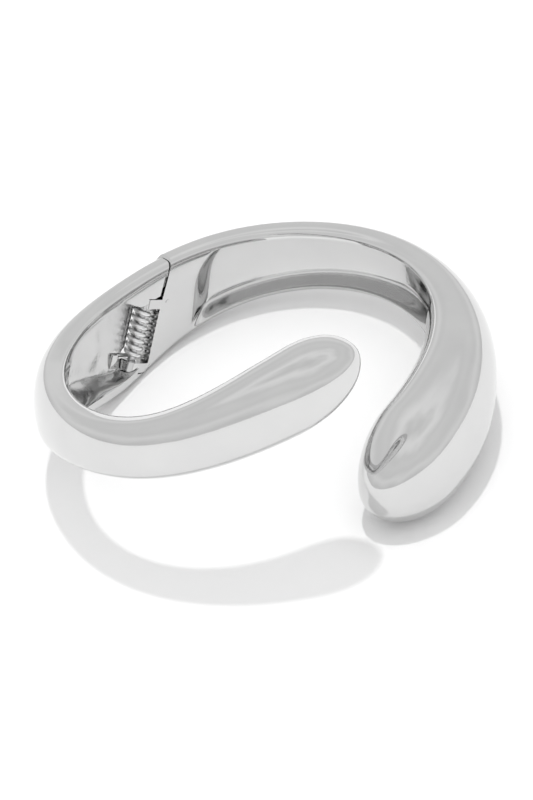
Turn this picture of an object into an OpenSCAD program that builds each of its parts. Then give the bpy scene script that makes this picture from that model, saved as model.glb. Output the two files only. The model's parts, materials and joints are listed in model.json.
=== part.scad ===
// Hinged bypass bangle: two hollow cast arms that end in teardrops, joined by a sprung hinge.
// The origin is on the table under the middle of the bangle, +Z is up, and the bangle lies
// as it rests, on its lower teardrop and the foot of its hinge.

/* [Wrist opening] */
// Long diameter of the oval wrist opening
opening_long = 60; // [57:0.5:63]
// Short diameter of the oval wrist opening, from hinge to teardrops
opening_short = 46; // [44:0.5:48]

/* [Band] */
// Height of the band at the hinge
hinge_height = 16.2; // [15.6:0.1:17.4]
// Thickness of the band at the hinge
hinge_thickness = 4.4; // [4.4:0.1:5.2]
// Height of the lower teardrop at its fullest
lower_drop_height = 19; // [15:0.5:20]
// Thickness of the lower teardrop at its fullest
lower_drop_thickness = 15; // [12:0.5:16]
// Height of the upper teardrop at its fullest
upper_drop_height = 14; // [11:0.5:15]
// Thickness of the upper teardrop near its tip
upper_drop_thickness = 13.2; // [11:0.1:14]
// Wall of the hollow band
wall = 1.1; // [1:0.1:1.3]

/* [Hinge] */
// Diameter of the hinge pin
pin_d = 1.2; // [1:0.1:1.3]
// Radial clearance of the pin in the knuckles that turn on it
pin_clearance = 0.05; // [0.02:0.01:0.1]
// Radius of the knuckles
knuckle_r = 1.8; // [1.7:0.05:1.8]
// Slant of the hinge pin along the band
pin_slant = 26; // [24:1:30]
// Furthest that the arms spring open
open_angle = 30; // [20:1:30]

/* [Spring] */
// Diameter of the spring wire
wire_d = 0.7; // [0.5:0.05:0.7]
// Mean radius of the spring coil
coil_r = 1.1; // [1.05:0.05:1.1]
// Number of turns
coil_turns = 7; // [6:1:7]

/* [Hidden] */
$fn = 48;

// How the bangle leans when it lies at rest.
tilt_x = -9.9;
tilt_y = -0.5;

// The band runs from the lower tip, round past the hinge, to the upper tip.
start_az = -54.4;
sweep_az = 358;
long_az = 47;
hinge_v = 0.527;

// Stations at even steps along the band. A smooth curve follows each list.
half_thick = [
    6.7, lower_drop_thickness / 2, 5.5, 2.7, 2.2, 2.2, hinge_thickness / 2 - 0.1,
    hinge_thickness / 2, 3.2, 2.4, 3.1, 4.5, upper_drop_thickness / 2
];
half_high = [
    8.2, lower_drop_height / 2, 7.6, 6, 5.7, 6.7, hinge_height / 2,
    hinge_height / 2 + 0.7, 7, 4.4, 4.5, upper_drop_height / 2, 5.9
];
rise = [-12.1, -8.4, -4.6, -2.8, -1.9, -2, -3.4, -5, -3, 1.4, 3.7, 11.2, 16];
flare = [-2.2, -1.2, -0.2, 0.2, 0.3, 0.4, -0.4, -0.7, 0.2, 0.1, 0.4, 0.9, 0.9];
lean = [2, 4, 3, -2, -7, -5, -1, 6, -1, -5, -5, -5, 0];

// Cubic B-spline that starts and ends on its first and last values.
function before(p, i) = i == 0 ? 2 * p[0] - p[1] : p[i - 1];
function after(p, i) = i + 2 < len(p) ? p[i + 2] : 2 * p[i + 1] - p[i];
function blend4(a, b, c, d, f) =
    (a * pow(1 - f, 3) + b * (3 * f * f * f - 6 * f * f + 4)
    + c * (-3 * f * f * f + 3 * f * f + 3 * f + 1) + d * f * f * f) / 6;
function curve(p, v) =
    let (s = min(max(v, 0), 0.999999) * (len(p) - 1), i = floor(s))
    blend4(before(p, i), p[i], p[i + 1], after(p, i), s - i);
function smooth(a, b, v) =
    let (s = min(max((v - a) / (b - a), 0), 1))
    s * s * (3 - 2 * s);

function blend(a, b, share) = a + (b - a) * share;

// Centre line of the band, around the oval opening.
function azimuth(v) = start_az + sweep_az * v;
function oval(az) =
    1 / sqrt(pow(2 * cos(az - long_az) / opening_long, 2)
    + pow(2 * sin(az - long_az) / opening_short, 2));
function radius(v) = oval(azimuth(v)) + curve(half_thick, v) + curve(flare, v);
function centre(v) =
    [radius(v) * cos(azimuth(v)), radius(v) * sin(azimuth(v)), curve(rise, v)];

// The tips close like half an egg over a short length of the band.
lower_cap = 0.062;
upper_cap = 0.056;
tip_flat = 0.0009;
function egg(share) = sqrt(max(1 - pow(max(1 - share, 0), 2), tip_flat));
function cap(v) = egg(v / lower_cap) * egg((1 - v) / upper_cap);

// Section of the band: round outside, flatter inside near the hinge, and hollow in two places.
outer_power = 2.3;
function inner_power(v) = outer_power + 2.7 * exp(-pow((v - hinge_v) / 0.28, 4));
// The trough's end wall slants, half as much as the hinge pin, and rounds off towards the top.
trough_v = [0.19, 0.29, 0.436, 0.466];
pocket_v = [0.705, 0.735];
band_length = 169;
end_slope = tan(pin_slant / 2) / band_length;
end_round = 0.035;
function wall_shift(y, h) = end_slope * h * y + end_round * pow(max(y, 0), 3);
function hollow(v, y, h, upper) =
    upper ? 1 - smooth(pocket_v[0], pocket_v[1], v)
    : smooth(trough_v[0], trough_v[1], v)
    * (1 - smooth(trough_v[2], trough_v[3], v + wall_shift(y, h)));

// The upper arm stands a little below the lower arm's skin at the hinge.
seam_step = 0.45;
step_end = hinge_v + 0.11;
function step_down(v, upper) = upper ? seam_step * (1 - smooth(hinge_v, step_end, v)) : 0;

// Width of the rims beside the hollows. The pocket's rims grow into the hinge lugs.
lug_end = hinge_v + 0.035;
trough_rim = [1.3, 1];
pocket_rim = [1.9, 2.1];
lug_growth = [3, 0.5];
function lug(v) = 1 - smooth(hinge_v, lug_end, v);

// Height of the slope from each rim down to the floor. The pocket's slopes widen past the hinge.
trough_slope = [0.4, 1.2];
pocket_slope = [2.4, 3.2];
lug_slope = 0.4;
slope_start = [hinge_v + 0.06, hinge_v + 0.03];
slope_end = [hinge_v + 0.14, hinge_v + 0.09];
function slope(v, i, upper) =
    upper ? blend(lug_slope, pocket_slope[i], smooth(slope_start[i], slope_end[i], v)) : trough_slope[i];
function rim(v, i, upper) = upper ? pocket_rim[i] + lug_growth[i] * lug(v) : trough_rim[i];

OUTER_STEPS = 14;

// Each inner point is on a rim, part of the way down a slope or across the floor, and so deep.
RIM_Y = [0.97, 0.92];
SLOPE_SHARE = [0, 0.15, 0.5, 1];
FLOOR_STEPS = 5;
INNER_IN = [0, 0, 0, 0.28, 0.75, 1, 1, 1, 1, 1, 1, 0.75, 0.28, 0, 0, 0];
function side(t, y, n) = t * pow(max(1 - pow(abs(y), n), 0), 1 / n);
function inner_y(v, h, j, upper) =
    j < 2 ? RIM_Y[j]
    : j > 13 ? -RIM_Y[15 - j]
    : let (top = 1 - rim(v, 0, upper) / h, low = -1 + rim(v, 1, upper) / h)
    let (top_run = slope(v, 0, upper) / h, low_run = slope(v, 1, upper) / h)
    j < 6 ? top - top_run * SLOPE_SHARE[j - 2]
    : j > 9 ? low + low_run * SLOPE_SHARE[13 - j]
    : blend(top - top_run, low + low_run, (j - 5) / FLOOR_STEPS);
function section(v, upper) =
    let (t = curve(half_thick, v), h = curve(half_high, v), n = inner_power(v), k = cap(v))
    let (step = step_down(v, upper), lower_by = 1 - step / h, thin_by = 1 - step / t / 2)
    concat(
        [for (i = [0 : OUTER_STEPS])
            let (a = -90 + 180 * i / OUTER_STEPS, y = sign(sin(a)) * pow(abs(sin(a)), 2 / outer_power))
            [k * side(t * thin_by, y, outer_power), k * h * y * (y > 0 ? lower_by : 1)]],
        [for (j = [0 : len(INNER_IN) - 1])
            let (y = inner_y(v, h, j, upper), skin = -side(t, y, n))
            let (floor_x = max(side(t * thin_by, y, outer_power) - wall, skin))
            let (depth = hollow(v, y, h, upper) * INNER_IN[j] * (floor_x - skin))
            [k * (skin + depth), k * h * y * (y > 0 ? lower_by : 1)]]
    );
function ring(v, upper) =
    let (c = centre(v), az = azimuth(v), r = curve(lean, v))
    [for (p = section(v, upper))
        let (x = p[0] * cos(r) + p[1] * sin(r), z = p[1] * cos(r) - p[0] * sin(r))
        [c[0] + x * cos(az), c[1] + x * sin(az), c[2] + z]];

// A solid through the rings at the places given.
module loft(places, upper) {
    rings = [for (v = places) ring(v, upper)];
    m = len(rings[0]);
    n = len(rings);
    polyhedron(
        points = [for (r = rings) for (p = r) p],
        faces = concat(
            [[for (i = [0 : m - 1]) m - 1 - i]],
            [[for (i = [0 : m - 1]) (n - 1) * m + i]],
            [for (k = [0 : n - 2]) for (i = [0 : m - 1])
                [k * m + i, (k + 1) * m + (i + 1) % m, (k + 1) * m + i]],
            [for (k = [0 : n - 2]) for (i = [0 : m - 1])
                [k * m + i, k * m + (i + 1) % m, (k + 1) * m + (i + 1) % m]]
        )
    );
}

// The band goes a little past the hinge from both sides, and the hinge cuts trim it.
function spread(a, b, n) = [for (i = [0 : n - 1]) blend(a, b, i / n)];
cap_start = 3;
function lower_cap_places(n) = [for (i = [0 : n - 1]) lower_cap * (1 - cos(blend(cap_start, 90, i / n)))];
function upper_cap_places(n) = [for (i = [1 : n]) 1 - upper_cap * (1 - cos(blend(90, cap_start, i / n)))];
past_hinge = 0.055;
end_reach = end_slope * hinge_height / 2;
lower_places = concat(
    lower_cap_places(7), spread(lower_cap, trough_v[2] - end_reach - end_round, 27),
    spread(trough_v[2] - end_reach - end_round, trough_v[3] + end_reach, 20),
    spread(trough_v[3] + end_reach, hinge_v + past_hinge, 6), [hinge_v + past_hinge]
);
upper_places = concat(
    spread(hinge_v - past_hinge, pocket_v[0], 20), spread(pocket_v[0], pocket_v[1], 4),
    spread(pocket_v[1], 1 - upper_cap, 20), [1 - upper_cap], upper_cap_places(7)
);

// The bangle as it lies at rest, with its box centred over the origin.
function leant(p) =
    let (x = p[0] * cos(tilt_y) + p[2] * sin(tilt_y), z = p[2] * cos(tilt_y) - p[0] * sin(tilt_y))
    [x, p[1] * cos(tilt_x) - z * sin(tilt_x), p[1] * sin(tilt_x) + z * cos(tilt_x)];
skin = concat(
    [for (v = lower_places) for (p = ring(v, false)) leant(p)],
    [for (v = upper_places) for (p = ring(v, true)) leant(p)]
);
function middle(axis) = (min([for (p = skin) p[axis]]) + max([for (p = skin) p[axis]])) / 2;
table = min([for (p = skin) p[2]]);
module at_rest() {
    translate([-middle(0), -middle(1), -table]) rotate([tilt_x, 0, 0]) rotate([0, tilt_y, 0]) children();
}

// Hinge frame: Z along the pin, X out of the bangle, Y towards the upper arm.
pin_in = 0.4;
module at_hinge() {
    az = azimuth(hinge_v);
    translate(centre(hinge_v)) rotate([0, 0, az]) rotate([0, curve(lean, hinge_v), 0])
        translate([-pin_in, 0, 0]) rotate([pin_slant, 0, 0]) children();
}

// Faces of the two arms. The gap between them closes to a fine seam above seam_z.
lower_face_y = -1.95;
upper_face_y = -1.35;
seam_face_y = -1.8;
seam_z = 7.5;
knuckle_gap = 0.15;
knuckle_len = 1.5;
hinge_low = -8;
hinge_top = 3.7;
pin_low = -9;
pin_top = 6.6;
bore_past = 1;
press_bore_past = 3;
far = 60;

module beyond(y, top = far / 2) {
    translate([-far / 2, y - far, -far / 2]) cube([far, far, far / 2 + top]);
}

// A knuckle is a ring round the pin on a web that grows out of the lower arm's face.
web_root = 1;
web_out = 1;
module knuckle(z) {
    translate([0, 0, z]) cylinder(r = knuckle_r, h = knuckle_len);
    translate([-knuckle_r, lower_face_y - web_root, z])
        cube([knuckle_r + web_out, web_root - lower_face_y, knuckle_len]);
}

// Heights of the spring's two legs, and the slots in the arms that give them room.
leg_gap = 0.1;
leg_top = hinge_top - knuckle_len - leg_gap - wire_d / 2;
leg_low = hinge_low + knuckle_len + leg_gap + wire_d / 2;
slot_w = 0.9;
slot_deep = 1.2;
slot_past = 0.5;
module leg_slot(y, z, length) {
    translate([coil_r - slot_w / 2, y, z - slot_w / 2]) cube([slot_w, length, slot_w]);
}

module lower_arm() {
    color([0.8, 0.8, 0.81]) at_rest() difference() {
        union() {
            difference() {
                loft(lower_places, false);
                at_hinge() rotate([0, 0, 180]) beyond(-lower_face_y);
            }
            intersection() {
                loft(lower_places, false);
                at_hinge() union() {
                    knuckle(hinge_low);
                    knuckle(hinge_top - knuckle_len);
                }
            }
        }
        at_hinge() translate([0, 0, hinge_low - bore_past])
            cylinder(r = pin_d / 2 + pin_clearance, h = hinge_top - hinge_low + 2 * bore_past);
        at_hinge() leg_slot(lower_face_y - slot_deep, leg_top, slot_deep + leg_gap);
    }
}

// A hooked tab on the floor of the pocket that the spring's lower leg pushes on.
catch_y = 2.9;
catch_w = 1.2;
catch_in = 0.05;
hook_thick = 0.5;
post_thick = 0.95;
leg_past = 1;
module spring_catch() {
    hook_h = leg_low - hinge_low + wire_d / 2;
    post_h = leg_low - hinge_low - wire_d / 2 - leg_gap;
    translate([catch_in, catch_y, hinge_low]) cube([hook_thick, catch_w, hook_h]);
    translate([catch_in, catch_y, hinge_low]) cube([post_thick, catch_w, post_h]);
}

// The window for the knuckles, and a groove outside that lets the arms open.
window_half = 4;
open_gap = 0.1;
module upper_arm() {
    window_low = hinge_low - knuckle_gap;
    window_len = hinge_top - hinge_low + 2 * knuckle_gap;
    color([0.8, 0.8, 0.81]) at_rest() {
        difference() {
            union() {
                difference() {
                    loft(upper_places, true);
                    at_hinge() leg_slot(0, leg_low, catch_y + leg_past + slot_past);
                }
                at_hinge() spring_catch();
            }
            at_hinge() beyond(upper_face_y, seam_z);
            at_hinge() beyond(seam_face_y);
            at_hinge() rotate([0, 0, open_angle]) beyond(lower_face_y + open_gap);
            at_hinge() translate([0, 0, window_low])
                cylinder(r = knuckle_r + knuckle_gap, h = window_len);
            at_hinge() translate([-window_half, -window_half, window_low])
                cube([2 * window_half, window_half, window_len]);
            at_hinge() translate([0, 0, pin_low - press_bore_past])
                cylinder(r = pin_d / 2, h = pin_top - pin_low + press_bore_past);
        }
    }
}

module hinge_pin() {
    color([0.7, 0.7, 0.71]) at_rest() at_hinge() translate([0, 0, pin_low])
        cylinder(r = pin_d / 2, h = pin_top - pin_low);
}

// Path of the spring wire: a leg under the catch, the coil, and a leg in the lower arm's slot.
COIL_STEPS = 16;
function coil_point(i) =
    let (f = i / (coil_turns * COIL_STEPS), a = -360 * i / COIL_STEPS)
    [coil_r * cos(a), coil_r * sin(a), leg_low + (leg_top - leg_low) * f];
low_bend_y = 2;
top_bend_y = -1.6;
leg_in = 1;
wire_path = concat(
    [[coil_r, catch_y + leg_past, leg_low], [coil_r, low_bend_y, leg_low]],
    [for (i = [0 : coil_turns * COIL_STEPS]) coil_point(i)],
    [[coil_r, top_bend_y, leg_top], [coil_r, lower_face_y - leg_in, leg_top]]
);
WIRE_SIDES = 8;
module wire(path, r) {
    n = len(path);
    function along(i) = let (d = path[min(i + 1, n - 1)] - path[max(i - 1, 0)]) d / norm(d);
    function across(i) = let (c = cross([0, 0, 1], along(i))) c / norm(c);
    points = [for (i = [0 : n - 1]) for (k = [0 : WIRE_SIDES - 1])
        let (a = 360 * k / WIRE_SIDES, u = across(i))
        path[i] + r * cos(a) * u + r * sin(a) * cross(along(i), u)];
    m = WIRE_SIDES;
    polyhedron(
        points = points,
        faces = concat(
            [[for (k = [0 : m - 1]) k]],
            [[for (k = [0 : m - 1]) (n - 1) * m + m - 1 - k]],
            [for (i = [0 : n - 2]) for (k = [0 : m - 1])
                [i * m + k, (i + 1) * m + (k + 1) % m, i * m + (k + 1) % m]],
            [for (i = [0 : n - 2]) for (k = [0 : m - 1])
                [i * m + k, (i + 1) * m + k, (i + 1) * m + (k + 1) % m]]
        )
    );
}
module torsion_spring() {
    color([0.6, 0.6, 0.62]) at_rest() at_hinge() wire(wire_path, wire_d / 2);
}

lower_arm();
upper_arm();
hinge_pin();
torsion_spring();
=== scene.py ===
# %% [markdown]
# # A hinged bypass bangle
#
# This lesson rebuilds the looks of a silver-tone bangle: two cast arms that end in
# teardrops, a slanted hinge pin, and a small coiled spring that pulls the bangle shut.
# The exact model comes first, as a fixed frame. Everything after that is drawn in metres
# in the same place, so that a finer surface can stand in for each plain one.

# %% Load the frame
import json
import math
import bmesh
import bpy
import numpy as np
from mathutils import Matrix, Vector, noise

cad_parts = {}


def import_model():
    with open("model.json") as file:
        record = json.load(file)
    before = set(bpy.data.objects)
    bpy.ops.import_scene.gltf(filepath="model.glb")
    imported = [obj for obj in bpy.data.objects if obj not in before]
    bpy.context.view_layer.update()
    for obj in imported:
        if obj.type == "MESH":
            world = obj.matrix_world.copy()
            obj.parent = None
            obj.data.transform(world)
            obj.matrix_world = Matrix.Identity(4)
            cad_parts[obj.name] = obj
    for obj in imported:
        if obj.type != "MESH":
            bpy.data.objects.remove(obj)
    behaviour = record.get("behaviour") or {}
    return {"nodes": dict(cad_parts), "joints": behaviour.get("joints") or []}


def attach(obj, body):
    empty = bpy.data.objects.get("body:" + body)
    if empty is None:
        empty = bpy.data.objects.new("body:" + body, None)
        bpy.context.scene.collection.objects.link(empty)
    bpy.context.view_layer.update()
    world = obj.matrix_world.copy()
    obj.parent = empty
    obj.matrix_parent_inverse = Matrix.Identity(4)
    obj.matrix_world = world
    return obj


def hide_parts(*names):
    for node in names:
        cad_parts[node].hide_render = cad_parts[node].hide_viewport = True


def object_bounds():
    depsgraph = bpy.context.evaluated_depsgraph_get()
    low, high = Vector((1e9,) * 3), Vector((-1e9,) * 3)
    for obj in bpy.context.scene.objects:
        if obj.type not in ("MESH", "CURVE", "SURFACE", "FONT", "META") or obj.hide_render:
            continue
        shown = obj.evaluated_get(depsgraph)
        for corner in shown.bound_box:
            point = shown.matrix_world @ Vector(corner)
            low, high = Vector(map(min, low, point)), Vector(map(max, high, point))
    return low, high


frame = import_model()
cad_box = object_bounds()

MM = 0.001
print("box in mm:", [tuple(round(c / MM, 1) for c in corner) for corner in cad_box])

# %% [markdown]
# ## The camera
#
# Jewellery is shot with a long lens from well back, so that the near teardrop doesn't look
# swollen. The camera could be placed by eye, but here it goes round the bangle by angles:
# how far round, how high, and a small roll. The aim is a little in front of the middle of
# the bangle and below it, which leaves room for the shadow.

# %% Camera
CAMERA_ROUND = math.radians(3.46)
CAMERA_UP = math.radians(43.9)
CAMERA_ROLL = math.radians(6.09)
CAMERA_BACK = 0.8977
LENS_MM = 271.8
AIM_SHIFT = Vector((0.0001, -0.0066, -0.0068))

lowest, highest = cad_box
middle_of_bangle = (lowest + highest) / 2
aim = middle_of_bangle + AIM_SHIFT
towards_camera = Vector((
    math.sin(CAMERA_ROUND) * math.cos(CAMERA_UP),
    -math.cos(CAMERA_ROUND) * math.cos(CAMERA_UP),
    math.sin(CAMERA_UP),
))
camera = bpy.data.objects.new("camera", bpy.data.cameras.new("camera"))
bpy.context.scene.collection.objects.link(camera)
camera.data.lens = LENS_MM
camera.data.clip_end = 10
camera.location = aim + towards_camera * CAMERA_BACK
look = (-towards_camera).to_track_quat("-Z", "Y")
camera.rotation_mode = "QUATERNION"
camera.rotation_quaternion = look @ Matrix.Rotation(-CAMERA_ROLL, 3, "Z").to_quaternion()
bpy.context.scene.camera = camera
print("camera stands", tuple(round(c, 3) for c in camera.location))

# %% [markdown]
# ## The table and the light
#
# Polished metal has hardly any colour of its own. It shows the room, so the room is most of
# the work. A light tent gives a pale, even upper half. The white table fills the lower half,
# and the line between them is the soft crease that runs along each arm. The cloth of a tent
# never hangs quite flat, so its bands sway a little. A small lamp almost overhead draws the
# sharp, faint shadow, and a wide one lifts the table to white. Reflections see neither lamp,
# because a lamp would leave a blown patch in the metal.

# %% Table
TABLE_HALF = 1.6
table_mesh = bpy.data.meshes.new("table")
table_mesh.from_pydata(
    [(x * TABLE_HALF, y * TABLE_HALF, lowest.z) for x, y in ((-1, -1), (1, -1), (1, 1), (-1, 1))],
    [], [(0, 1, 2, 3)],
)
table = bpy.data.objects.new("table", table_mesh)
bpy.context.scene.collection.objects.link(table)
paper = bpy.data.materials.new("white_paper")
paper.use_nodes = True
paper_shader = paper.node_tree.nodes["Principled BSDF"]
paper_shader.inputs["Base Color"].default_value = (0.92, 0.92, 0.92, 1)
paper_shader.inputs["Roughness"].default_value = 0.9
paper_shader.inputs["Specular IOR Level"].default_value = 0.1
table_mesh.materials.append(paper)
print("table is", 2 * TABLE_HALF, "m wide")

# %% Light tent
TENT_BRIGHTNESS = 0.86
USUAL_BAND = 0.8
TENT_CREASES = 0.2
TENT_BANDS = (
    (0.0, 0.7), (0.06, 0.74), (0.22, 0.9), (0.38, 0.7),
    (0.58, 0.82), (0.72, 0.7), (0.85, 1.0), (0.95, 0.72),
)
world = bpy.data.worlds.new("light_tent")
bpy.context.scene.world = world
world.use_nodes = True
tent = world.node_tree
tent.nodes.clear()
tent_out = tent.nodes.new("ShaderNodeOutputWorld")
tent_light = tent.nodes.new("ShaderNodeBackground")
tent_light.inputs["Strength"].default_value = TENT_BRIGHTNESS / USUAL_BAND
direction = tent.nodes.new("ShaderNodeTexCoord")
split = tent.nodes.new("ShaderNodeSeparateXYZ")
bands = tent.nodes.new("ShaderNodeValToRGB")
bands.color_ramp.interpolation = "B_SPLINE"
while len(bands.color_ramp.elements) < len(TENT_BANDS):
    bands.color_ramp.elements.new(0.5)
for element, (height, shade) in zip(bands.color_ramp.elements, TENT_BANDS):
    element.position = height
    element.color = (shade, shade, shade, 1)
creases = tent.nodes.new("ShaderNodeTexNoise")
creases.inputs["Scale"].default_value = 1.7
creases.inputs["Detail"].default_value = 2
sway = tent.nodes.new("ShaderNodeMapRange")
sway.inputs["To Min"].default_value = -TENT_CREASES
sway.inputs["To Max"].default_value = TENT_CREASES
uneven = tent.nodes.new("ShaderNodeMath")
tent.links.new(direction.outputs["Generated"], split.inputs[0])
tent.links.new(direction.outputs["Generated"], creases.inputs["Vector"])
tent.links.new(creases.outputs["Fac"], sway.inputs["Value"])
tent.links.new(split.outputs["Z"], uneven.inputs[0])
tent.links.new(sway.outputs["Result"], uneven.inputs[1])
tent.links.new(uneven.outputs[0], bands.inputs["Fac"])
tent.links.new(bands.outputs["Color"], tent_light.inputs["Color"])
tent.links.new(tent_light.outputs[0], tent_out.inputs[0])
bpy.context.scene.view_settings.view_transform = "Standard"
print("tent has", len(TENT_BANDS), "bands from the table up to overhead")

# %% Lamps
def hang_lamp(name, kind, strength, place, **settings):
    """A lamp at a place, aimed at the middle of the bangle and unseen by reflections."""
    lamp = bpy.data.objects.new(name, bpy.data.lights.new(name, kind))
    bpy.context.scene.collection.objects.link(lamp)
    lamp.data.energy = strength
    for setting, value in settings.items():
        setattr(lamp.data, setting, value)
    lamp.location = Vector(place)
    lamp.rotation_mode = "QUATERNION"
    lamp.rotation_quaternion = (middle_of_bangle - lamp.location).to_track_quat("-Z", "Y")
    lamp.visible_glossy = False
    return lamp

hang_lamp("small_lamp", "SUN", 0.95, (-0.02, 0.13, 1.0), angle=math.radians(2.5))
hang_lamp("wide_lamp", "AREA", 4, (0, 0, 1.5), shape="DISK", size=2.2)

# %% [markdown]
# ## Finishes
#
# The plating is a mirror over a casting, so its colour hardly varies, and its life is in its
# sheen: fine polishing haze outside, and dull, grainy, unpolished metal in the hollows. One
# material can do both, because each point of the skin already says how cast it looks. The
# wire parts are drawn steel, with faint lines round them.

# %% Material helpers
def add_node(tree, kind, **settings):
    """A node with its settings, where a number or colour names an input."""
    node = tree.nodes.new(kind)
    for name, value in settings.items():
        if name in node.inputs:
            node.inputs[name].default_value = value
        else:
            setattr(node, name, value)
    return node


def spread_between(tree, source, low, high):
    """Stretches a pattern from 0..1 to low..high."""
    node = tree.nodes.new("ShaderNodeMapRange")
    node.inputs["To Min"].default_value = low
    node.inputs["To Max"].default_value = high
    tree.links.new(source, node.inputs["Value"])
    return node.outputs["Result"]


def new_metal(name):
    """A metal with its object coordinates, ready for patterns."""
    metal = bpy.data.materials.new(name)
    metal.use_nodes = True
    shader = metal.node_tree.nodes["Principled BSDF"]
    shader.inputs["Metallic"].default_value = 1
    place = metal.node_tree.nodes.new("ShaderNodeTexCoord").outputs["Object"]
    return metal, metal.node_tree, shader, place


print("helpers ready:", ", ".join(f.__name__ for f in (add_node, spread_between, new_metal)))

# %% [markdown]
# The plate's tint barely moves, so a wide soft noise is enough. The roughness carries the
# difference between a buffed outside and a raw hollow: a mix between two narrow ranges,
# steered by the "as_cast" value that each point of the skin carries. Two faint bumps finish
# it, the waves that a buffing wheel leaves and the grain of the mould.

# %% Plated casting
def plated_casting():
    metal, tree, shader, place = new_metal("silver_tone_plate")
    cast = add_node(tree, "ShaderNodeAttribute", attribute_name="as_cast").outputs["Fac"]

    cloud = add_node(tree, "ShaderNodeTexNoise", Scale=160, Detail=3)
    tint = add_node(tree, "ShaderNodeValToRGB")
    tint.color_ramp.elements[0].color = (0.62, 0.62, 0.622, 1)
    tint.color_ramp.elements[1].color = (0.68, 0.68, 0.676, 1)
    tree.links.new(place, cloud.inputs["Vector"])
    tree.links.new(cloud.outputs["Fac"], tint.inputs["Fac"])
    tree.links.new(tint.outputs["Color"], shader.inputs["Base Color"])

    haze = add_node(tree, "ShaderNodeTexNoise", Scale=700, Detail=4)
    tree.links.new(place, haze.inputs["Vector"])
    polished = spread_between(tree, haze.outputs["Fac"], 0.03, 0.11)
    raw = spread_between(tree, haze.outputs["Fac"], 0.14, 0.3)
    sheen = add_node(tree, "ShaderNodeMix", data_type="FLOAT")
    tree.links.new(cast, sheen.inputs["Factor"])
    tree.links.new(polished, sheen.inputs["A"])
    tree.links.new(raw, sheen.inputs["B"])
    tree.links.new(sheen.outputs["Result"], shader.inputs["Roughness"])

    ripple = add_node(tree, "ShaderNodeTexNoise", Scale=260, Detail=1)
    grain = add_node(tree, "ShaderNodeTexNoise", Scale=1500, Detail=3)
    grain_depth = add_node(tree, "ShaderNodeMath", operation="MULTIPLY")
    tree.links.new(place, ripple.inputs["Vector"])
    tree.links.new(place, grain.inputs["Vector"])
    tree.links.new(grain.outputs["Fac"], grain_depth.inputs[0])
    tree.links.new(cast, grain_depth.inputs[1])
    ripple_bump = add_node(tree, "ShaderNodeBump", Strength=0.3, Distance=0.00006)
    grain_bump = add_node(tree, "ShaderNodeBump", Strength=0.6, Distance=0.00007)
    tree.links.new(ripple.outputs["Fac"], ripple_bump.inputs["Height"])
    tree.links.new(grain_depth.outputs[0], grain_bump.inputs["Height"])
    tree.links.new(ripple_bump.outputs[0], grain_bump.inputs["Normal"])
    tree.links.new(grain_bump.outputs[0], shader.inputs["Normal"])
    return metal


SILVER_TONE_PLATE = plated_casting()
print("made", SILVER_TONE_PLATE.name)


# %% [markdown]
# Wire is pulled through a die, which leaves fine marks. One squashed noise can tint the
# steel, dull it and dent it at once, so that the three always agree.

# %% Drawn steel
def drawn_steel(name, dark, light, line_scale):
    """Steel wire with fine lines round it, brighter than the plate but less of a mirror."""
    metal, tree, shader, place = new_metal(name)
    squash = add_node(tree, "ShaderNodeMapping")
    squash.inputs["Scale"].default_value = (1, 1, 6)
    lines = add_node(tree, "ShaderNodeTexNoise", Scale=line_scale, Detail=2)
    tint = add_node(tree, "ShaderNodeValToRGB")
    tint.color_ramp.elements[0].color = (*dark, 1)
    tint.color_ramp.elements[1].color = (*light, 1)
    dent = add_node(tree, "ShaderNodeBump", Strength=0.3, Distance=0.00002)
    tree.links.new(place, squash.inputs["Vector"])
    tree.links.new(squash.outputs[0], lines.inputs["Vector"])
    tree.links.new(lines.outputs["Fac"], tint.inputs["Fac"])
    tree.links.new(tint.outputs["Color"], shader.inputs["Base Color"])
    tree.links.new(spread_between(tree, lines.outputs["Fac"], 0.22, 0.42), shader.inputs["Roughness"])
    tree.links.new(lines.outputs["Fac"], dent.inputs["Height"])
    tree.links.new(dent.outputs[0], shader.inputs["Normal"])
    return metal


SPRING_STEEL = drawn_steel("spring_steel", (0.78, 0.78, 0.785), (0.92, 0.92, 0.915), 900)
PIN_STEEL = drawn_steel("pin_steel", (0.66, 0.66, 0.67), (0.8, 0.8, 0.8), 700)
print("made", SPRING_STEEL.name, "and", PIN_STEEL.name)

# %% [markdown]
# ## The line of the band
#
# Both arms are one continuous band that was cut at the hinge. A modeller could sculpt each
# arm, but a shape this smooth is easier to steer with a few stations: at even steps from the
# lower tip, round the back, to the upper tip, each station says how thick and how high the
# band is, how far it has climbed, how far it flares out, and how it leans. A cubic B-spline
# starts and ends on each list's outer values and passes close to the rest.

# %% Stations
OPENING_LONG, OPENING_SHORT = 60, 46
START_ROUND, SWEEP_ROUND, LONG_ROUND = -54.4, 358, 47
HINGE_AT = 0.527
HALF_THICK = (6.7, 7.5, 5.5, 2.7, 2.2, 2.2, 2.1, 2.2, 3.2, 2.4, 3.1, 4.5, 6.6)
HALF_HIGH = (8.2, 9.5, 7.6, 6, 5.7, 6.7, 8.1, 8.8, 7, 4.4, 4.5, 7, 5.9)
RISE = (-12.1, -8.4, -4.6, -2.8, -1.9, -2, -3.4, -5, -3, 1.4, 3.7, 11.2, 16)
FLARE = (-2.2, -1.2, -0.2, 0.2, 0.3, 0.4, -0.4, -0.7, 0.2, 0.1, 0.4, 0.9, 0.9)
LEAN = (2, 4, 3, -2, -7, -5, -1, 6, -1, -5, -5, -5, 0)


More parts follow.
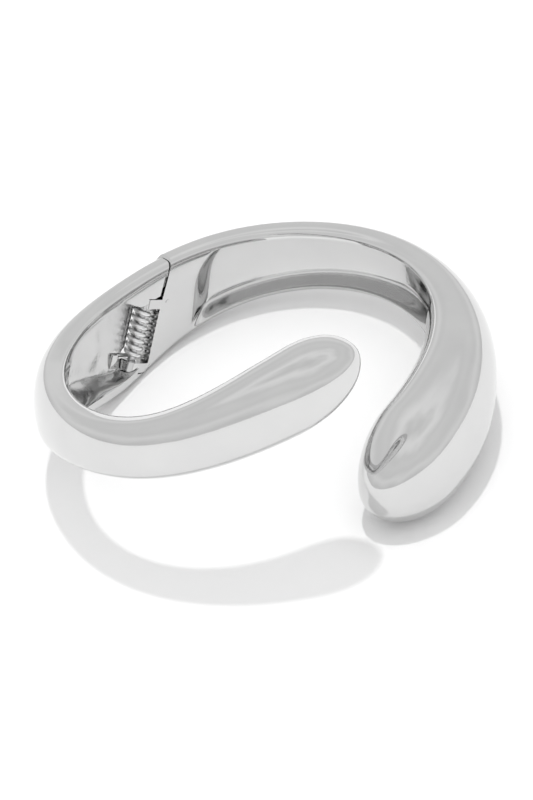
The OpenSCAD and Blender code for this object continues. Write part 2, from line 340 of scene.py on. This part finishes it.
def along(stations, at):
    """The smooth value of a list of stations at places from 0 to 1."""
    p = np.array(stations, float)
    p = np.concatenate([[2 * p[0] - p[1]], p, [2 * p[-1] - p[-2]]])
    s = np.clip(at, 0, 0.999999) * (len(stations) - 1)
    i = np.floor(s).astype(int)
    f = s - i
    return (p[i] * (1 - f) ** 3 + p[i + 1] * (3 * f**3 - 6 * f**2 + 4)
            + p[i + 2] * (-3 * f**3 + 3 * f**2 + 3 * f + 1) + p[i + 3] * f**3) / 6


def ease(start, end, at):
    """0 before start, 1 after end, and a soft turn between them."""
    s = np.clip((at - start) / (end - start), 0, 1)
    return s * s * (3 - 2 * s)


def way_round(at):
    return np.radians(START_ROUND + SWEEP_ROUND * at)


def band_centre(at):
    """The middle of the band, as an array of points in millimetres."""
    turn = way_round(at)
    across = turn - math.radians(LONG_ROUND)
    along_long, along_short = 2 * np.cos(across) / OPENING_LONG, 2 * np.sin(across) / OPENING_SHORT
    oval = 1 / np.sqrt(along_long ** 2 + along_short ** 2)
    out = oval + along(HALF_THICK, at) + along(FLARE, at)
    return np.stack([out * np.cos(turn), out * np.sin(turn), along(RISE, at)], -1)


middle_line = band_centre(np.linspace(0, 1, 200))
band_steps = np.linalg.norm(np.diff(middle_line, axis=0), axis=1)
print("band is", round(float(band_steps.sum())), "mm long from tip to tip")

# %% [markdown]
# ## From the band to the table
#
# The band is drawn level, then leans as the real bangle does when it lies on a table. The
# hinge's own place in the frame ties the two together, so that the finer skins land where
# the plain ones are.

# %% Lean and hinge
LEAN_BACK, LEAN_SIDE = math.radians(-9.9), math.radians(-0.5)
PIN_IN = 0.4
PIN_SLANT = math.radians(26)

lean = Matrix.Rotation(LEAN_BACK, 3, "X") @ Matrix.Rotation(LEAN_SIDE, 3, "Y")
square_to_band = (Matrix.Rotation(float(way_round(HINGE_AT)), 3, "Z")
                  @ Matrix.Rotation(math.radians(float(along(LEAN, HINGE_AT))), 3, "Y"))
pin_middle = Vector(band_centre(HINGE_AT)) - square_to_band @ Vector((PIN_IN, 0, 0))
hinge = frame["joints"][0]
table_shift = Vector(hinge["pos_m"]) - lean @ pin_middle * MM
onto_table = Matrix.Translation(table_shift) @ lean.to_4x4() @ Matrix.Scale(MM, 4)
hinge_frame = onto_table @ Matrix.Translation(pin_middle) @ (
    square_to_band @ Matrix.Rotation(PIN_SLANT, 3, "X")).to_4x4()
upright = Vector((0, 0, 1))
pin_lean = math.degrees(upright.angle(hinge_frame.to_3x3() @ upright))
print("pin leans", round(pin_lean, 1), "degrees from upright")

# %% [markdown]
# ## The section of the band
#
# Cut across, the band is a soft oval outside and flatter inside near the hinge. In two places
# the inside is hollow, to save metal: a long smooth trough in the lower arm, and a deep pocket
# in the upper arm. One closed outline per place keeps the surface in long clean rows, which
# polished metal needs: a sculpted or remeshed skin would ripple in the reflections. Each row
# of points keeps its job from end to end, such as outer skin, rim edge or hollow floor.

# %% Section
WALL = 1.1
OUTER_POWER = 2.3
TROUGH_AT = (0.19, 0.29, 0.436, 0.466)
POCKET_AT = (0.705, 0.735)
TROUGH_RIM, POCKET_RIM, LUG_GROWTH = (1.3, 1.0), (1.9, 2.1), (3, 0.5)
TROUGH_SLOPE, POCKET_SLOPE = (0.4, 1.2), (2.4, 3.2)
SLOPE_GROWS = ((HINGE_AT + 0.06, HINGE_AT + 0.14), (HINGE_AT + 0.03, HINGE_AT + 0.09))
LUG_END = HINGE_AT + 0.035
LOWER_CAP, UPPER_CAP = 0.062, 0.056
TIP_FLAT = 0.0002
FLATTER_INSIDE, FLAT_REACH = 2.7, 0.28
BAND_LENGTH = 169
TROUGH_END_ROUND = 0.035
TROUGH_CAST = 0.3
SEAM_STEP, STEP_END = 0.45, HINGE_AT + 0.11
OUTER_POINTS, RIM_POINTS, SLOPE_POINTS, FLOOR_POINTS = 48, 10, 14, 16
ROWS_AT_EDGE, SLOPE_CURVE = 1.5, 1.2


def oval_side(reach, height, power):
    """How far out an oval of this reach goes at a height from -1 to 1."""
    return reach * np.power(np.maximum(1 - np.abs(height) ** power, 0), 1 / power)


def rims(at, in_pocket):
    """Widths of the top and low rims beside the hollow."""
    if not in_pocket:
        return TROUGH_RIM
    lug = 1 - float(ease(HINGE_AT, LUG_END, at))
    return tuple(rim + growth * lug for rim, growth in zip(POCKET_RIM, LUG_GROWTH))


def slopes(at, in_pocket):
    """Heights of the two slopes that run from the rims down to the floor."""
    if not in_pocket:
        return TROUGH_SLOPE
    return tuple(TROUGH_SLOPE[0] + (full - TROUGH_SLOPE[0]) * float(ease(*grows, at))
                 for full, grows in zip(POCKET_SLOPE, SLOPE_GROWS))


def hollow_share(at, up, high, in_pocket):
    """How deep the hollow is, from 0 to 1. The trough's end wall slants and rounds off on top."""
    if in_pocket:
        return 1 - ease(*POCKET_AT, at + 0 * up)
    slant = up * math.tan(PIN_SLANT / 2) / BAND_LENGTH
    round_off = TROUGH_END_ROUND * np.maximum(up / high, 0) ** 3
    end_wall = ease(TROUGH_AT[2], TROUGH_AT[3], at + (slant + round_off))
    return ease(TROUGH_AT[0], TROUGH_AT[1], at) * (1 - end_wall)


def round_tip(at):
    """The tips close like half an egg."""
    near = max(1 - max(1 - at / LOWER_CAP, 0) ** 2, TIP_FLAT)
    far = max(1 - max(1 - (1 - at) / UPPER_CAP, 0) ** 2, TIP_FLAT)
    return math.sqrt(near * far)


def section(at, in_pocket):
    """The outline across the band, as (out, up, how cast it looks) in millimetres."""
    thick, high = float(along(HALF_THICK, at)), float(along(HALF_HIGH, at))
    inner_power = OUTER_POWER + FLATTER_INSIDE * math.exp(-(((at - HINGE_AT) / FLAT_REACH) ** 4))
    top_rim, low_rim = rims(at, in_pocket)
    step = SEAM_STEP * (1 - float(ease(HINGE_AT, STEP_END, at))) if in_pocket else 0
    turn = np.linspace(-math.pi / 2, math.pi / 2, OUTER_POINTS)
    outer_up = high * np.sign(np.sin(turn)) * np.abs(np.sin(turn)) ** (2 / OUTER_POWER)
    outer_out = oval_side(thick - step / 2, outer_up / high, OUTER_POWER)
    top_edge, low_edge = high - top_rim, low_rim - high

    def turn_at(height):
        return math.copysign(math.asin(min(abs(height) / high, 1) ** (inner_power / 2)), height)

    def skin_rows(start, end, count):
        turn = np.linspace(turn_at(start), turn_at(end), count)
        return high * np.sign(np.sin(turn)) * np.abs(np.sin(turn)) ** (2 / inner_power)

    top_slope, low_slope = slopes(at, in_pocket)
    down = np.linspace(0, 1, SLOPE_POINTS) ** ROWS_AT_EDGE
    inner_up = np.concatenate([
        skin_rows(high, top_edge, RIM_POINTS)[1:],
        (top_edge - top_slope * down)[1:],
        np.linspace(top_edge - top_slope, low_edge + low_slope, FLOOR_POINTS)[1:],
        (low_edge + low_slope * down)[::-1][1:],
        skin_rows(low_edge, -high, RIM_POINTS)[1:-1],
    ])
    skin = -oval_side(thick, inner_up / high, inner_power)
    share = hollow_share(at, inner_up, high, in_pocket)
    floor = np.maximum(oval_side(thick - step / 2, inner_up / high, OUTER_POWER) - WALL, skin)
    from_top = np.clip((top_edge - inner_up) / top_slope, 0, 1) ** SLOPE_CURVE
    from_low = np.clip((inner_up - low_edge) / low_slope, 0, 1) ** SLOPE_CURVE
    inside = (1 - (1 - from_top) ** 2) * (1 - (1 - from_low) ** 2)
    inner_out = skin + share * inside * (floor - skin)
    up = np.concatenate([outer_up, inner_up])
    up = np.where(up > 0, up * (1 - step / high), up)
    tip = round_tip(at)
    cast = inside * share * (1 if in_pocket else TROUGH_CAST)
    return np.stack([
        np.concatenate([outer_out, inner_out]) * tip,
        up * tip,
        np.concatenate([0 * outer_out, cast]),
    ], -1)


print("a section has", len(section(0.6, True)), "points")

# %% [markdown]
# ## From outlines to a skin
#
# Each outline stands upright on a line out from the bangle's middle, leans a little, and
# joins the next with a row of four-sided faces. The ends close with one face each. Two
# outlines can share a mesh only if they have the same number of points, as they do here.
# The lumps stay shallow, because with deeper ones the cuts at the hinge fail.

# %% Skin
LUMP_DEPTH = 0.3
LUMP_SIZE = 4.5
SMALL_LUMPS, SMALL_LUMP_DEPTH = 2.1, 0.5
LUMPS_BEGIN, LUMPS_FULL = HINGE_AT + 0.02, HINGE_AT + 0.06


def cast_lump(point):
    """Soft lumps that the mould leaves where nobody polishes."""
    where = Vector(point) / LUMP_SIZE
    return LUMP_DEPTH * (noise.noise(where) + SMALL_LUMP_DEPTH * noise.noise(where * SMALL_LUMPS))


def outline(at, in_pocket):
    """The section at its place along the band, in band millimetres, and how cast each point is."""
    ring = section(at, in_pocket)
    centre, turn = band_centre(at), float(way_round(at))
    tip_over = math.radians(float(along(LEAN, at)))
    out = ring[:, 0] * math.cos(tip_over) + ring[:, 1] * math.sin(tip_over)
    up = ring[:, 1] * math.cos(tip_over) - ring[:, 0] * math.sin(tip_over)
    points = np.stack([
        centre[0] + out * math.cos(turn),
        centre[1] + out * math.sin(turn),
        centre[2] + up,
    ], -1)
    if in_pocket:
        outward = np.array([math.cos(turn), math.sin(turn), 0])
        past_hinge = float(ease(LUMPS_BEGIN, LUMPS_FULL, at))
        lumps = np.array([
            cast_lump(point) * cast * past_hinge if cast > 0 else 0
            for point, cast in zip(points, ring[:, 2])
        ])
        points = points + lumps[:, None] * outward
    return points, ring[:, 2]


def skin_mesh(name, places, in_pocket):
    """A closed mesh through the outlines at these places, on the table, in metres."""
    rings = [outline(at, in_pocket) for at in places]
    count = len(rings[0][0])
    points = np.concatenate([ring for ring, _ in rings])
    last = (len(rings) - 1) * count
    faces = [tuple(reversed(range(count))), tuple(range(last, last + count))]
    for row in range(len(rings) - 1):
        for i in range(count):
            j = (i + 1) % count
            here, beyond = row * count, (row + 1) * count
            faces.append((here + i, here + j, beyond + j, beyond + i))
    mesh = bpy.data.meshes.new(name)
    mesh.from_pydata([onto_table @ Vector(p) for p in points], [], faces)
    cast = mesh.attributes.new("as_cast", "FLOAT", "POINT")
    cast.data.foreach_set("value", np.concatenate([c for _, c in rings]).astype(np.float32))
    return mesh


def tip_places(cap, count):
    """Places that crowd together towards a tip, so that its cap is round."""
    turns = [math.radians(1 + 89 * i / count) for i in range(count)]
    return [cap * (1 - math.cos(turn)) for turn in turns]


print("lumps up to", LUMP_DEPTH, "mm deep,", LUMP_SIZE, "mm across")

# %% [markdown]
# ## Cutting the hinge
#
# The two arms meet at a slanted pin. The lower arm ends in a flat plate with two knuckles,
# and the upper arm has a window for them between two lugs. Modelling these by pushing points
# would spoil the smooth rows, so plain tools are made from mesh code, set in the hinge's own
# frame, and cut away with exact Booleans. The hinge's frame has Z along the pin, X out of the
# bangle and Y towards the upper arm. The faces of the two arms are 0.6 mm apart, and close
# to a fine seam over the top rim.

# %% Cutting tools
PIN_R, PIN_PLAY = 0.6, 0.05
KNUCKLE_R, KNUCKLE_GAP, KNUCKLE_LEN = 1.8, 0.15, 1.5
HINGE_LOW, HINGE_TOP = -8, 3.7
PIN_LOW, PIN_TOP = -9, 6.6
LOWER_FACE, UPPER_FACE = -1.95, -1.35
SEAM_FACE, SEAM_FROM = -1.8, 7.5
OPEN_ANGLE = math.radians(30)
WIRE_R, COIL_R, COIL_TURNS = 0.35, 1.1, 7
LEG_GAP = 0.1
LEG_TOP = HINGE_TOP - KNUCKLE_LEN - LEG_GAP - WIRE_R
LEG_LOW = HINGE_LOW + KNUCKLE_LEN + LEG_GAP + WIRE_R
LEG_SLOT, SLOT_DEEP, SLOT_PAST = 0.9, 1.2, 0.5
CATCH_AT, CATCH_WIDE, CATCH_IN = 2.9, 1.2, 0.05
POST_THICK, HOOK_THICK, LEG_PAST = 0.95, 0.5, 1
WINDOW_HALF = 4
OPEN_GAP = 0.1
BORE_PAST = 1
WEB_ROOT, WEB_OUT = 1, 1
FAR = 30


def block(corner, size, turn=0.0):
    """A block in the hinge's frame, with its lowest corner and its size in millimetres."""
    form = bmesh.new()
    bmesh.ops.create_cube(form, size=1)
    middle = Vector(corner) + Vector(size) / 2
    bmesh.ops.transform(form, verts=form.verts, matrix=Matrix.Diagonal((*size, 1)))
    in_place = Matrix.Rotation(turn, 4, "Z") @ Matrix.Translation(middle)
    bmesh.ops.transform(form, verts=form.verts, matrix=in_place)
    return form


def softened(form, by=0.12):
    """The same form with its edges rounded."""
    bmesh.ops.bevel(form, geom=form.edges[:], offset=by, segments=3, affect="EDGES", profile=0.5)
    return form


def rod(radius, low, top, sides=96):
    """A rod on the pin's line."""
    form = bmesh.new()
    bmesh.ops.create_cone(
        form, cap_ends=True, segments=sides, radius1=radius, radius2=radius, depth=top - low)
    bmesh.ops.translate(form, verts=form.verts, vec=(0, 0, (low + top) / 2))
    return form


def leg_slot(start, up, length):
    """Room for a leg of the spring."""
    return block((COIL_R - LEG_SLOT / 2, start, up - LEG_SLOT / 2), (LEG_SLOT, length, LEG_SLOT))


def before(face, turn=0.0, top=FAR):
    """A great block that takes away everything before a face, up to a height along the pin."""
    return block((-FAR, face - 2 * FAR, -FAR), (2 * FAR, 2 * FAR, FAR + top), turn)


def as_object(form, name):
    """A form in the hinge's frame becomes an object on the table, in metres."""
    mesh = bpy.data.meshes.new(name)
    form.to_mesh(mesh)
    form.free()
    mesh.transform(hinge_frame)
    thing = bpy.data.objects.new(name, mesh)
    bpy.context.scene.collection.objects.link(thing)
    return thing


def work(arm, tool, operation):
    """Adds a form to an arm, cuts it away or keeps what they share, and leaves no tool behind."""
    if not isinstance(tool, bpy.types.Object):
        tool = as_object(tool, "tool")
    step = arm.modifiers.new(operation, "BOOLEAN")
    step.operation = operation
    step.solver = "EXACT"
    step.object = tool
    done = bpy.data.meshes.new_from_object(arm.evaluated_get(bpy.context.evaluated_depsgraph_get()))
    arm.modifiers.clear()
    old_mesh = arm.data
    arm.data = done
    bpy.data.meshes.remove(old_mesh)
    bpy.data.objects.remove(tool)


def crisp_where_cut(arm, angle=32):
    """Smooth everywhere but on the edges that the tools left."""
    arm.data.polygons.foreach_set("use_smooth", [True] * len(arm.data.polygons))
    arm.data.set_sharp_from_angle(angle=math.radians(angle))


print("hinge is", round(HINGE_TOP - HINGE_LOW, 1), "mm long between its lugs")

# %% [markdown]
# ## The lower arm
#
# The long arm: a full teardrop at the front, a smooth trough behind, and a closing plate at
# the hinge. The places crowd together at the tip and at the steep end wall of the trough.

# %% Lower arm
PAST_HINGE = 0.055
CROWD_BEFORE, CROWD_AFTER = 0.05, 0.025
lower_places = (
    tip_places(LOWER_CAP, 22)
    + list(np.linspace(LOWER_CAP, TROUGH_AT[2] - CROWD_BEFORE - 0.001, 134))
    + list(np.linspace(TROUGH_AT[2] - CROWD_BEFORE, TROUGH_AT[3] + CROWD_AFTER, 70))
    + list(np.linspace(TROUGH_AT[3] + CROWD_AFTER + 0.002, HINGE_AT + PAST_HINGE, 14))
)
lower_skin = skin_mesh("lower_arm_casting", lower_places, False)
lower_arm = bpy.data.objects.new("lower_arm_casting", lower_skin)
bpy.context.scene.collection.objects.link(lower_arm)
knuckles = []
for low in (HINGE_LOW, HINGE_TOP - KNUCKLE_LEN):
    knuckle = as_object(rod(KNUCKLE_R, low, low + KNUCKLE_LEN), "knuckle")
    web_corner = (-KNUCKLE_R, LOWER_FACE - WEB_ROOT, low)
    web = block(web_corner, (KNUCKLE_R + WEB_OUT, WEB_ROOT - LOWER_FACE, KNUCKLE_LEN))
    whole_skin = bpy.data.objects.new("whole_skin", lower_arm.data.copy())
    bpy.context.scene.collection.objects.link(whole_skin)
    work(knuckle, web, "UNION")
    work(knuckle, whole_skin, "INTERSECT")
    knuckles.append(knuckle)
work(lower_arm, block((-FAR, LOWER_FACE, -FAR), (2 * FAR, 2 * FAR, 2 * FAR)), "DIFFERENCE")
for knuckle in knuckles:
    work(lower_arm, knuckle, "UNION")
work(lower_arm, rod(PIN_R + PIN_PLAY, HINGE_LOW - BORE_PAST, HINGE_TOP + BORE_PAST), "DIFFERENCE")
work(lower_arm, leg_slot(LOWER_FACE - SLOT_DEEP, LEG_TOP, SLOT_DEEP + LEG_GAP), "DIFFERENCE")
crisp_where_cut(lower_arm)
lower_arm.data.materials.append(SILVER_TONE_PLATE)
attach(lower_arm, "lower_half")
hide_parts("lower_arm")
print("lower arm has", len(lower_arm.data.polygons), "faces")

# %% [markdown]
# ## The upper arm
#
# The short arm: a deep pocket with a broad rim behind, and a slimmer teardrop that passes
# over the other. Next to the hinge the rims grow into two lugs that hold the pin. A hooked
# stub on the pocket's floor catches the spring's lower leg.

# %% Upper arm
upper_places = (
    list(np.linspace(HINGE_AT - PAST_HINGE, POCKET_AT[0], 110))
    + list(np.linspace(POCKET_AT[0] + 0.002, POCKET_AT[1], 16))
    + list(np.linspace(POCKET_AT[1] + 0.003, 1 - UPPER_CAP, 80))
    + [1 - at for at in reversed(tip_places(UPPER_CAP, 22))]
)
upper_skin = skin_mesh("upper_arm_casting", upper_places, True)
upper_arm = bpy.data.objects.new("upper_arm_casting", upper_skin)
bpy.context.scene.collection.objects.link(upper_arm)
window_low, window_len = HINGE_LOW - KNUCKLE_GAP, HINGE_TOP - HINGE_LOW + 2 * KNUCKLE_GAP
work(upper_arm, before(UPPER_FACE, top=SEAM_FROM), "DIFFERENCE")
work(upper_arm, before(SEAM_FACE), "DIFFERENCE")
work(upper_arm, before(LOWER_FACE + OPEN_GAP, turn=OPEN_ANGLE), "DIFFERENCE")
work(upper_arm, rod(KNUCKLE_R + KNUCKLE_GAP, window_low, window_low + window_len), "DIFFERENCE")
window_corner = (-WINDOW_HALF, -WINDOW_HALF, window_low)
work(upper_arm, block(window_corner, (2 * WINDOW_HALF, WINDOW_HALF, window_len)), "DIFFERENCE")
work(upper_arm, leg_slot(0, LEG_LOW, CATCH_AT + LEG_PAST + SLOT_PAST), "DIFFERENCE")
post_high = LEG_LOW - HINGE_LOW - WIRE_R - LEG_GAP
hook_high = LEG_LOW - HINGE_LOW + WIRE_R
for thick, tall in ((POST_THICK, post_high), (HOOK_THICK, hook_high)):
    stub = block((CATCH_IN, CATCH_AT, HINGE_LOW), (thick, CATCH_WIDE, tall))
    work(upper_arm, softened(stub), "UNION")
crisp_where_cut(upper_arm)
upper_arm.data.materials.append(SILVER_TONE_PLATE)
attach(upper_arm, "upper_half")
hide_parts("upper_arm")
print("upper arm has", len(upper_arm.data.polygons), "faces")

# %% [markdown]
# ## The pin and the spring
#
# The pin is a cut length of drawn wire. The spring is seven open turns of thin hard wire.
# A curve with a round bevel is the natural way to draw wire, because the wire's thickness
# is then one number.

# %% Spring
COIL_STEPS = 24
LOW_BENDS, TOP_BENDS, LEG_IN = (2, 0.8), (-0.8, -1.6), 1
coil = [(COIL_R, forward, LEG_LOW) for forward in (CATCH_AT + LEG_PAST, *LOW_BENDS)]
for i in range(COIL_TURNS * COIL_STEPS + 1):
    turn = -2 * math.pi * i / COIL_STEPS
    up = LEG_LOW + (LEG_TOP - LEG_LOW) * i / (COIL_TURNS * COIL_STEPS)
    coil.append((COIL_R * math.cos(turn), COIL_R * math.sin(turn), up))
coil += [(COIL_R, forward, LEG_TOP) for forward in (*TOP_BENDS, LOWER_FACE - LEG_IN)]
wire = bpy.data.curves.new("spring_wire", "CURVE")
wire.dimensions = "3D"
wire.bevel_depth = WIRE_R * MM
wire.bevel_resolution = 5
wire.use_fill_caps = True
path = wire.splines.new("POLY")
path.points.add(len(coil) - 1)
for point, place in zip(path.points, coil):
    point.co = (*(hinge_frame @ Vector(place)), 1)
path.use_smooth = True
wire.materials.append(SPRING_STEEL)
spring = bpy.data.objects.new("torsion_spring_coil", wire)
bpy.context.scene.collection.objects.link(spring)
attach(spring, "lower_half")
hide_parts("torsion_spring")
print("spring has", COIL_TURNS, "turns of", 2 * WIRE_R, "mm wire")

# %% Pin
pin_body = frame["nodes"]["hinge_pin"]
pin_body.data.materials.clear()
pin_body.data.materials.append(PIN_STEEL)
print("pin is", round(PIN_TOP - PIN_LOW, 1), "mm long")
